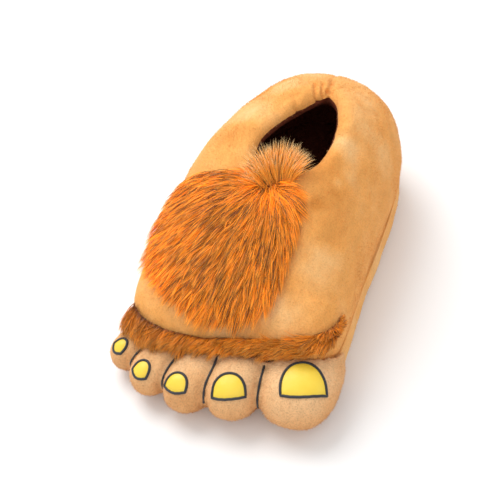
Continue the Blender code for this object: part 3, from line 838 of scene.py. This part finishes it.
def make_toe_lines(toes):
    """The black lines in the grooves between the toes, laid on the plush."""
    skin = tree_of(toes)
    rows = rows_of(TOES)
    meshes = []
    for first, second in zip(rows, rows[1:]):
        groove = valley(first, second) + MIDDLE
        line = even_points(np.vstack([groove, groove[-1] + (0.0, 0.0, -0.006)]), 8, closed=False)
        laid = [laid_on(skin, spot) for spot in line]
        smooth = even_points(spline(np.array(laid), closed=False), 40, closed=False)
        meshes.append(cord(smooth, BORDER * 0.85, closed=False))
    return joined("toe_lines", meshes)


def nail_outline(nail, toe, count=72):
    """The nail's border in shares of the toe's half sizes, round behind and straight in front."""
    length, width, _ = toe_frame(toe)[3]
    arc = np.linspace(0.0, math.pi, 40)
    front = NAIL_BOW / length * np.array([0.64, 0.96, 0.96, 0.64])
    back = np.append(-nail["length"] * np.sin(arc) ** 0.85, front)
    side = np.append(np.cos(arc), [-0.6, -0.2, 0.2, 0.6])
    curve = np.column_stack([back * length, side * nail["half_width"] * width])
    curve = even_points(curve, count, closed=True)
    turn = math.radians(nail["turn"])
    ahead = curve[:, 0] * math.cos(turn) + curve[:, 1] * math.sin(turn)
    aside = curve[:, 1] * math.cos(turn) - curve[:, 0] * math.sin(turn)
    return np.column_stack([nail["edge"] + ahead / length, nail["aside"] + aside / width])


def toe_point(toe, ahead, aside):
    """A point on top of a toe, from shares of its half length and half width."""
    middle, forward, sideways, (length, width, height) = toe_frame(toe)
    up = max(0.0, 1.0 - abs(ahead) ** TOE_POWER - abs(aside) ** TOE_POWER) ** (1.0 / TOE_POWER)
    point = middle + forward * ahead * length + sideways * aside * width
    return point + np.array([0.0, 0.0, up * height]) + MIDDLE


def make_nails(toes):
    """Five domed satin nails and the black borders stitched round them."""
    skin = tree_of(toes)
    by_name = {row["name"]: row for row in rows_of(TOES)}
    nails = []
    borders = []
    for nail in rows_of(NAILS):
        toe = by_name[nail["name"]]
        outline = nail_outline(nail, toe)
        middle = outline.mean(axis=0)
        shape = bmesh.new()
        rings = []
        for share in (1.0, 0.93, 0.8, 0.62, 0.42, 0.2):
            lift = 0.0003 + NAIL_CROWN * (1.0 - share**2.2)
            ring = [
                shape.verts.new(laid_on(skin, toe_point(toe, *spot), lift))
                for spot in middle + (outline - middle) * share
            ]
            rings.append([shape.edges.new((ring[k - 1], ring[k])) for k in range(len(ring))])
        for outer, inner in zip(rings, rings[1:]):
            bmesh.ops.bridge_loops(shape, edges=outer + inner)
        bmesh.ops.holes_fill(shape, edges=rings[-1], sides=0)
        bmesh.ops.recalc_face_normals(shape, faces=shape.faces)
        made = piece_from(shape, f"satin_nail_{nail['name']}")
        nails.append((made, f"nail_{nail['name']}"))
        edge = [laid_on(skin, toe_point(toe, *spot)) for spot in outline]
        borders.append(cord(np.array(edge), BORDER, closed=True))
    return nails, joined("nail_borders", borders)


# Fur

def inside(spots, outline):
    """Which plan points lie within a closed outline."""
    x, y = spots[:, 0], spots[:, 1]
    found = np.zeros(len(spots), bool)
    for (x0, y0), (x1, y1) in zip(outline, np.roll(outline, -1, axis=0)):
        crosses = (y0 > y) != (y1 > y)
        with np.errstate(divide="ignore", invalid="ignore"):
            at = (x1 - x0) * (y - y0) / (y1 - y0) + x0
        found ^= crosses & (x < at)
    return found


def sown(outline, count, dice):
    """Random plan points within an outline."""
    low, high = outline.min(axis=0), outline.max(axis=0)
    spots = dice.uniform(low, high, (count * 3, 2))
    return spots[inside(spots, outline)][:count]


def turned(headings, angles):
    c, s = np.cos(angles), np.sin(angles)
    x, y = headings[:, 0], headings[:, 1]
    return np.column_stack([x * c - y * s, x * s + y * c])


def combed(spots, angles):
    """The way the instep hairs lie at plan points: out from the whorl, then down to the toes."""
    away = spots - WHORL
    gap = np.maximum(np.linalg.norm(away, axis=1, keepdims=True), 0.0005)
    pull = np.clip(gap / 0.045, 0.0, 1.0)
    heading = away / gap + pull * np.array([-0.10, -0.45])
    heading /= np.linalg.norm(heading, axis=1, keepdims=True)
    return turned(heading, angles)


def lying_hairs(roots, angles, lengths, lifts):
    """Paths of hairs over the last, from plan roots; lifts is how far the tips stand off."""
    spots = roots.copy()
    path = []
    for k in range(FLOW_STEPS):
        share = k / (FLOW_STEPS - 1)
        lift = lifts * (1.0 - (1.0 - share) ** 2)
        path.append(off_last(spots, lift))
        heading = combed(spots, angles)
        small = heading * 0.0005
        pace = np.linalg.norm(over_last(spots + small) - over_last(spots), axis=1) / 0.0005
        spots = spots + heading * (lengths / (FLOW_STEPS - 1) / np.maximum(pace, 1.0))[:, None]
    return np.stack(path, axis=1)


def tufted(paths, guides, strength):
    """Draws each hair's tip towards the nearest guide's, so that the fur falls in locks."""
    gaps = np.linalg.norm(paths[:, None, 0] - guides[None, :, 0], axis=2)
    best = gaps.argmin(axis=1)
    share = np.linspace(0.0, 1.0, paths.shape[1])
    offset = (paths[:, 0] - guides[best, 0])[:, None, :]
    drawn = guides[best] + offset * (1.0 - 0.82 * share)[None, :, None]
    pull = (strength * share**0.8)[None, :, None]
    return paths * (1.0 - pull) + drawn * pull, best


def ribbons(name, paths, outwards, width, tones, dice):
    """Hairs as flat tapering ribbons in one mesh, with how far along and how light each point is."""
    count, steps = paths.shape[:2]
    ahead = np.gradient(paths, axis=1)
    side = np.cross(ahead, outwards[:, None])
    side /= np.maximum(np.linalg.norm(side, axis=2, keepdims=True), 1e-9)
    up = np.cross(side, ahead)
    up /= np.maximum(np.linalg.norm(up, axis=2, keepdims=True), 1e-9)
    lean = dice.normal(0.0, 0.55, count)[:, None, None]
    side = side * np.cos(lean) + up * np.sin(lean)
    share = np.linspace(0.0, 1.0, steps)
    half = (np.broadcast_to(width, count)[:, None] / 2 * (1.0 - 0.65 * share**1.5))[:, :, None]
    left = paths - side * half
    right = paths + side * half
    body = np.stack([left[:, :-1], right[:, :-1]], axis=2).reshape(count, -1, 3)
    spots = np.concatenate([body, paths[:, -1:]], axis=1)
    each = spots.shape[1]
    quads = [(2 * k, 2 * k + 1, 2 * k + 3, 2 * k + 2) for k in range(steps - 2)]
    corners = np.array([v for quad in quads for v in quad] + [each - 3, each - 2, each - 1])
    sizes = np.array([4] * len(quads) + [3])
    loops = (np.arange(count)[:, None] * each + corners[None, :]).ravel()
    starts = np.concatenate([[0], np.cumsum(np.tile(sizes, count))[:-1]])
    mesh = array_mesh(name, spots.reshape(-1, 3), loops, starts)
    along = np.append(np.repeat(share[:-1], 2), 1.0)
    give(mesh, "along", np.tile(along, count))
    give(mesh, "tone", np.repeat(tones, each))
    return linked(name, mesh)


def fibres(count, dice):
    """How light and how wide each fibre is: some are dark, as painted shade between the locks, and some
    pale, as painted glints, and those show as thicker.
    """
    tones = dice.uniform(0.85, 1.12, count)
    widths = np.full(count, HAIR)
    pick = dice.uniform(0.0, 1.0, count)
    # Painted shade: the dark fibres stand for the shadows between locks; painted glints: the pale ones stand
    # for highlights on the fibres
    dark, pale = pick < 0.10, pick > 0.93
    tones[dark] *= 0.22
    tones[pale] *= 1.5
    widths[dark] *= 1.35
    widths[pale] *= 1.2
    return tones, widths


def make_instep_fur():
    """Long hairs that fan out from the whorl over the instep."""
    dice = np.random.default_rng(11)
    outline = spline(np.array(PATCH) * MM, closed=True)
    roots = np.vstack(
        [sown(outline, INSTEP_HAIRS, dice), sown(outline * 1.06 + (0.001, 0.003), EDGE_HAIRS, dice)]
    )
    centres = sown(outline, INSTEP_LOCKS, dice)
    count = len(roots)
    behind = np.clip((roots[:, 1] - WHORL[1]) / 0.006 + 0.5, 0.0, 1.0)
    lengths = dice.uniform(0.014, 0.025, count) * (1.0 - 0.5 * behind)
    tones, widths = fibres(count, dice)
    # The dark and pale fibres, the painted shade and glints, stand further off so that they show
    lifts = dice.uniform(0.001, 0.0070, count) + np.where((tones < 0.5) | (tones > 1.25), 0.0018, 0.0)
    near = np.linalg.norm(roots - WHORL, axis=1) / 0.010
    stray = dice.normal(0.0, 1.0, count) * (0.10 + 0.45 * np.exp(-(near**2)))
    paths = lying_hairs(roots, stray, lengths, lifts)
    guides = lying_hairs(
        centres,
        dice.normal(0.0, 0.16, len(centres)),
        dice.uniform(0.017, 0.026, len(centres)),
        dice.uniform(0.0025, 0.0065, len(centres)),
    )
    paths, lock = tufted(paths, guides, 0.62)
    tones *= dice.uniform(0.82, 1.14, len(centres))[lock]
    rim = np.linalg.norm(roots[:, None, :] - outline[None, ::12, :], axis=2).min(axis=1)
    tones *= 1.00 + 0.2 * np.exp(-((rim / 0.007) ** 2)) + 0.4 * np.exp(-(near**2))
    # Painted light: the fur is paler towards -X, the side the key light comes from
    tones *= 1.0 + 0.2 * np.clip((-0.015 - roots[:, 0]) / 0.03, 0.0, 1.0)
    return ribbons("instep_fur", paths + MIDDLE, last_normals(roots), widths, tones, dice)


def make_tuft():
    """Paler hairs that stand up from the whorl over the front of the opening."""
    dice = np.random.default_rng(12)
    count = TUFT_HAIRS
    upward = np.array([-0.38, 0.93])
    sideways = np.array([0.93, 0.38])
    fan = dice.uniform(-1.0, 1.0, count)
    roots = WHORL + (0.006, 0.001) + np.outer(fan * 0.010, sideways)
    roots += np.outer(dice.uniform(-0.002, 0.007, count), upward)
    heading = turned(np.tile(upward, (count, 1)), -1.0 * fan + dice.normal(0.0, 0.16, count))
    lengths = (0.011 + 0.018 * dice.uniform(0.0, 1.0, count) ** 1.6) * (1.0 - 0.2 * fan**2)
    lifts = dice.uniform(0.003, 0.012, count)
    share = np.linspace(0.0, 1.0, FLOW_STEPS)
    path = []
    for s in share:
        spots = roots + heading * (lengths * s * 0.93)[:, None]
        path.append(off_last(spots, lifts * (1 - (1 - s) ** 2)))
    paths = np.stack(path, axis=1)
    guides = paths[:: count // TUFT_LOCKS]
    paths, _ = tufted(paths, guides, 0.15)
    tones, widths = fibres(count, dice)
    return ribbons(
        "opening_tuft", paths + MIDDLE, last_normals(roots), widths * 0.85, tones * 1.1, dice
    )


def on_band(way, rise_above, lift):
    """Points over the last, from the way round in metres from +X and the height above the sole band."""
    angles = -way / BAND_RADIUS
    ring = np.column_stack([np.cos(angles), np.sin(angles)]) * reach_at(angles)[:, None]
    spots = ring * domed(np.clip(rise_above / rise_at(ring), 0.0, 0.98))[:, None]
    return off_last(spots, lift), last_normals(spots)


def make_band_fur(toes):
    """The strip of fur over the toes' seam: shaggy by the little toe, combed flat by the big one."""
    dice = np.random.default_rng(13)
    skin = tree_of(toes)
    count = BAND_HAIRS
    degrees = dice.uniform(52.0, 120.0, count)
    way = np.radians(degrees) * BAND_RADIUS
    little = np.clip((degrees - 60.0) / 55.0, 0.0, 1.0)
    edge = rows_of(BAND_EDGE)
    low = TOE_TOP * np.interp(degrees, [row["round"] for row in edge], [row["height"] for row in edge])
    # How far above that edge the hairs start, and in how wide a strip
    first = np.interp(degrees, (51, 60, 72, 95), (0.0060, 0.0040, 0.0006, 0.0))
    wide = np.interp(degrees, (51, 60, 80, 95, 108, 119), (0.0050, 0.0080, 0.0062, 0.0050, 0.0090, 0.0120))
    height = low - BAND_HEIGHT + first + wide * dice.uniform(0.0, 1.0, count)
    lengths = dice.uniform(0.009, 0.015, count) * np.interp(degrees, (51, 60, 90, 119), (0.7, 1.2, 1.0, 1.4))
    sweep = np.interp(degrees, (51, 56, 63, 80, 115), (-0.5, 0.3, 1.0, 0.8, -0.2))
    sweep += dice.normal(0.0, 0.20, count)
    drop = 0.12 + 0.40 * little**1.5 + dice.normal(0.0, 0.2, count)
    stand = dice.uniform(0.25, 0.9, count) * np.clip((degrees - 48.0) / 12.0, 0.3, 1.0)
    share = np.linspace(0.0, 1.0, FLOW_STEPS)
    path = []
    for s in share:
        spots, normals = on_band(
            way + sweep * lengths * s,
            np.maximum(height - drop * lengths * s * (0.5 + 0.5 * s), 0.004),
            0.0006 + stand * lengths * s,
        )
        path.append(spots)
    paths = np.stack(path, axis=1)
    guides = paths[:: count // BAND_LOCKS]
    paths, lock = tufted(paths, guides, 0.6)
    paths = paths + MIDDLE
    for hair in paths.reshape(-1, 3):
        hit, _, _, _ = skin.ray_cast(Vector((hair[0], hair[1], 0.2)), Vector((0, 0, -1)))
        if hit is not None and hair[2] < hit.z + 0.0008:
            hair[2] = hit.z + 0.0008
    _, normals = on_band(way, height, np.zeros(count))
    tones, widths = fibres(count, dice)
    tones *= dice.uniform(0.68, 1.0, len(guides))[lock]
    return ribbons("toe_seam_fur", paths, normals + (0, 0, 0.6), widths, tones, dice)


# Underside

def make_under_sole():
    """Sole cloth, raised by the height of the grip dots."""
    piece = piece_from(copy_of("outsole"), "woven_under_sole")
    spots = spots_of(piece.data)
    spots[:, 2] = np.maximum(spots[:, 2], DOT_HEIGHT)
    move_to(piece.data, spots)
    return piece


def make_grip_dots():
    """Rows of printed rubber dots under the sole."""
    edge = inset_ring(120, OUTSOLE_INSET + 0.005)
    row_gap = DOT_PITCH * math.sqrt(3) / 2
    shape = bmesh.new()
    rows = int(0.32 / row_gap)
    spots = np.array([
        (DOT_PITCH * (column + 0.5 * (row % 2)), row * row_gap)
        for row in range(-rows // 2, rows // 2 + 1)
        for column in range(-14, 15)
    ])
    for x, y in spots[inside(spots, edge)]:
        place = Matrix.Translation(Vector((x, y, DOT_HEIGHT / 2)) + Vector(MIDDLE))
        sizes = {"radius1": DOT_RADIUS * 0.7, "radius2": DOT_RADIUS, "depth": DOT_HEIGHT}
        bmesh.ops.create_cone(shape, cap_ends=True, segments=8, matrix=place, **sizes)
    return piece_from(shape, "grip_dots")


# Light, floor and camera

def make_stage():
    floor_shape = bmesh.new()
    bmesh.ops.create_grid(floor_shape, x_segments=1, y_segments=1, size=4.0)
    floor = piece_from(floor_shape, "floor")
    floor.data.materials.append(new_finish("pale_floor", Roughness=0.8, Base_Color=linear("#F4F4F4")))
    world = bpy.data.worlds.new("studio")
    world.use_nodes = True
    world.node_tree.nodes["Background"].inputs["Color"].default_value = (1.0, 1.0, 1.0, 1.0)
    world.node_tree.nodes["Background"].inputs["Strength"].default_value = 0.80
    bpy.context.scene.world = world
    lights = (
        ("name", "place", "size", "power"),
        ("key", (-0.9, 0.4, 1.5), 1.3, 25.0),
        ("front", (0.6, -1.5, 1.3), 1.4, 4.0),
    )
    for row in rows_of(lights):
        lamp = bpy.data.lights.new(row["name"], "AREA")
        lamp.size = row["size"]
        lamp.energy = row["power"]
        holder = linked(row["name"], lamp)
        holder.location = row["place"]
        aim = Vector((0.0, 0.0, 0.06)) - Vector(row["place"])
        holder.rotation_euler = aim.to_track_quat("-Z", "Y").to_euler()


def make_camera():
    """The photo's viewing angle to the shoe, with the shoe in the middle of the picture."""
    turn, rise, roll = (math.radians(a) for a in (22.23, 46.27, -1.615))
    distance, focal, frame_px = 0.958, 86.44, 500
    target = Vector(MIDDLE) + Vector((0.0, 0.0, 0.050))
    shift_px = (-41.0, 39.0)  # how far the shoe's middle is from the target in the picture
    back = Vector((math.sin(turn) * math.cos(rise), -math.cos(turn) * math.cos(rise), math.sin(rise)))
    right = Vector((math.cos(turn), math.sin(turn), 0.0))
    up = back.cross(right)
    right, up = (
        right * math.cos(roll) + up * math.sin(roll),
        up * math.cos(roll) - right * math.sin(roll),
    )
    scale = focal * frame_px / 36.0
    look = -back + right * (shift_px[0] / scale) - up * (shift_px[1] / scale)
    back_now = -look.normalized()
    right_now = up.cross(back_now).normalized()
    up_now = back_now.cross(right_now)
    lens = bpy.data.cameras.new("camera")
    lens.lens = focal
    lens.sensor_width = 36.0
    holder = linked("camera", lens)
    rows = zip(right_now, up_now, back_now)
    holder.matrix_world = Matrix.Translation(target + back * distance) @ Matrix(list(rows)).to_4x4()
    bpy.context.scene.camera = holder


def dress():
    upper, lining = part_lining(make_upper())
    settle(upper, "tan_plush", tan_plush, "upper", fill=0.8)
    settle(lining, "brown_fleece", lining_fleece)
    settle(pile_over(upper, "upper_pile", UPPER_PILE, 21), "tan_plush", tan_plush)
    side_band = settle(make_sole_band(), "tan_plush", tan_plush, "midsole", fill=0.9)
    settle(pile_over(side_band, "side_pile", SIDE_PILE, 22), "tan_plush", tan_plush)
    settle(make_footbed(), "brown_fleece", lining_fleece, "insole", fill=0.7)
    toes = settle(make_toes(), "peach_plush", peach_plush, "toe_piece", fill=0.85)
    settle(pile_over(toes, "toe_pile", TOE_PILE, 23), "peach_plush", peach_plush)
    nails, borders = make_nails(toes)
    for nail, node in nails:
        settle(nail, "yellow_satin", nail_satin, node)
    settle(borders, None, black_thread)
    settle(make_toe_lines(toes), None, black_thread)
    settle(make_instep_fur(), "orange_fur", rust_fur, "fur_patch")
    settle(make_tuft(), "orange_fur", gold_fur)
    settle(make_band_fur(toes), "orange_fur", rust_fur, "fur_band")
    settle(make_under_sole(), "sole_cloth", under_cloth, "outsole")
    settle(make_grip_dots(), "sole_cloth", grip_rubber)


dress()
make_stage()
make_camera()
bpy.context.scene.view_settings.view_transform = "Standard"
